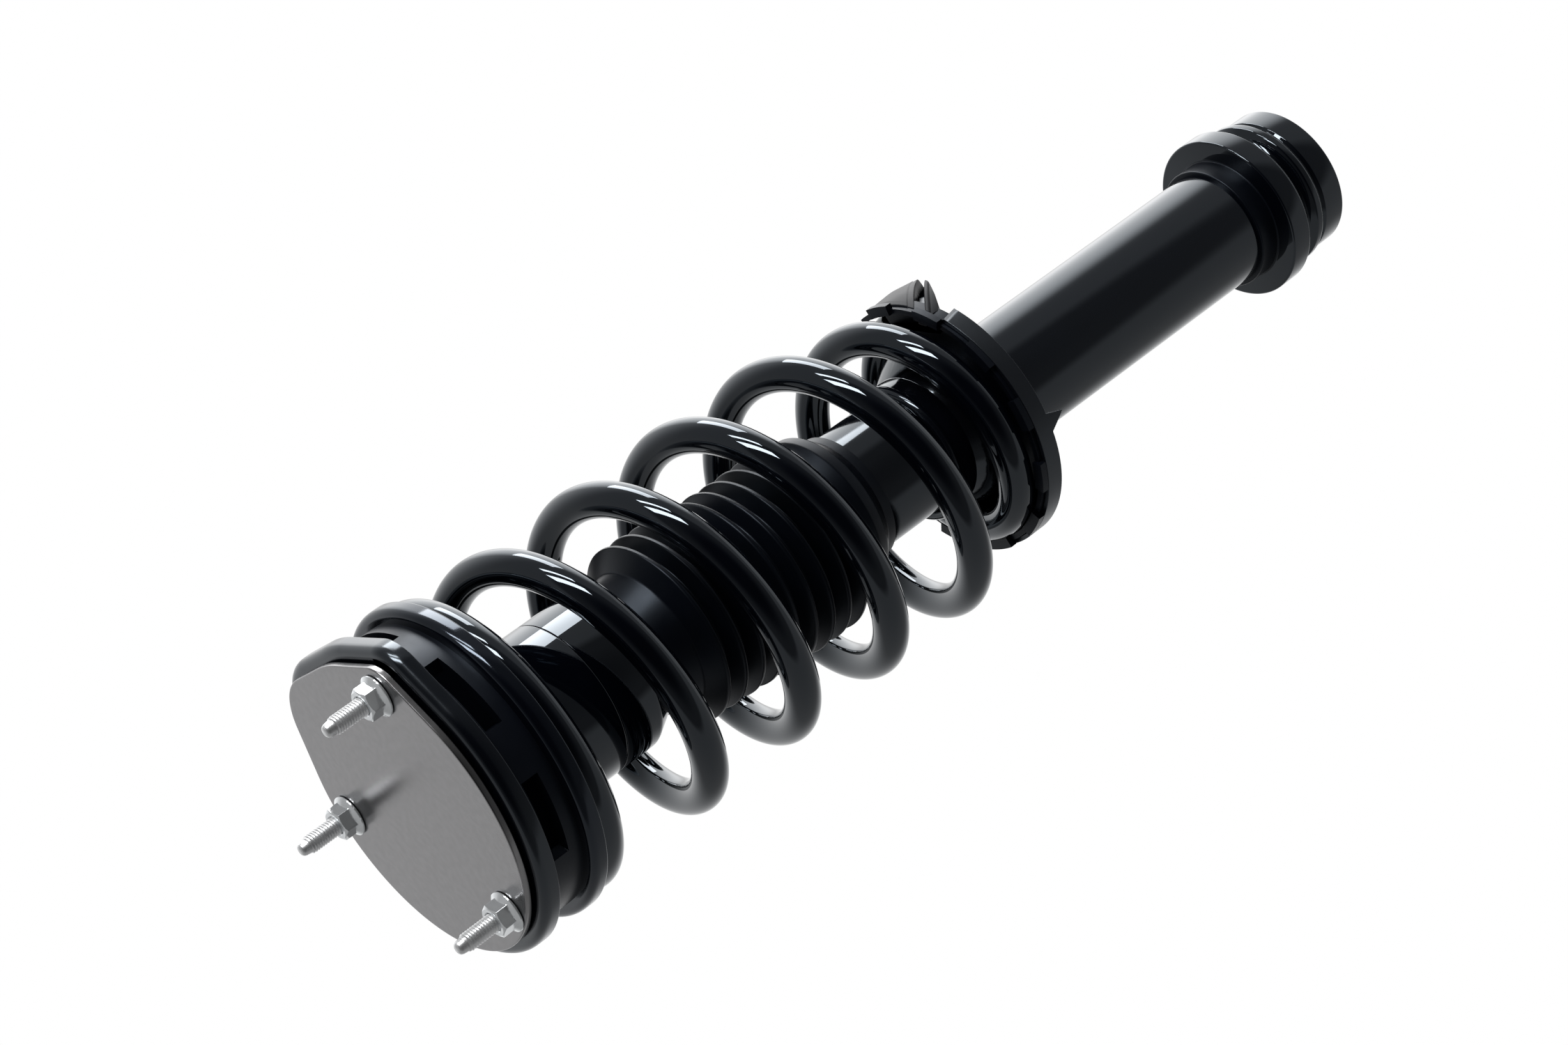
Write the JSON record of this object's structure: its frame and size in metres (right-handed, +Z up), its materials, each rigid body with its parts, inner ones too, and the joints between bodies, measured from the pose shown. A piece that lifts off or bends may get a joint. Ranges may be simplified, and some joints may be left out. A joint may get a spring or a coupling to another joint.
{
  "type": "coil-over strut assembly",
  "caption": "Ready-assembled suspension strut: damper with coil spring, ribbed dust boot, stamped spring seats and a top mount with threaded studs.",
  "frame": {"origin": "centre of the top plate's outer face, on the axis of the damper rod", "axes": "+Z up the rod's axis towards the top mount, +X from the axis away from the plate's straight side"},
  "size_m": [0.1456, 0.1478, 0.56],
  "materials": {
    "black_steel": "gloss",
    "plate_steel": "satin",
    "zinc": "zinc plated",
    "bright_steel": "machined",
    "chrome": "polished",
    "moulded": "satin",
    "rubber": "matt",
    "bump": "foam",
    "iron": "sintered",
    "band": "satin"
  },
  "bodies": {
    "mount_side": {"top_plate": "plate_steel", "mount_housing": "black_steel", "mount_studs": "zinc", "flange_nuts": "zinc", "mount_base": "moulded", "inner_sleeve": "bright_steel", "mount_rubber": "rubber", "upper_washer": "bright_steel", "lower_washer": "bright_steel", "rod_nut": "zinc", "upper_isolator": "rubber", "coil_spring": "black_steel", "bump_stop_cup": "black_steel", "bump_stop": "bump", "dust_boot": "rubber", "piston_rod": "chrome", "rebound_stop": "moulded", "piston": "iron", "piston_band": "band", "rebound_shims": "bright_steel", "compression_shims": "bright_steel", "piston_nut": "bright_steel"},
    "tube_side": {"damper_tube": "black_steel", "tube_cap": "black_steel", "rod_seal": "rubber", "guide_bush": "band", "rod_guide": "iron", "base_valve": "iron", "pressure_tube": "bright_steel", "tube_base": "black_steel", "lower_spring_seat": "black_steel", "lower_isolator": "rubber", "locating_collar": "black_steel", "end_sleeve": "black_steel"}
  },
  "joints": [
    {"name": "compression", "type": "slide", "parent": "mount_side", "child": "tube_side", "axis": [0, 0, 1], "range_m": [0, 0.095], "stiffness_N_per_m": 28000, "springref_m": -0.055, "deforming": ["coil_spring", "dust_boot"]}
  ]
}
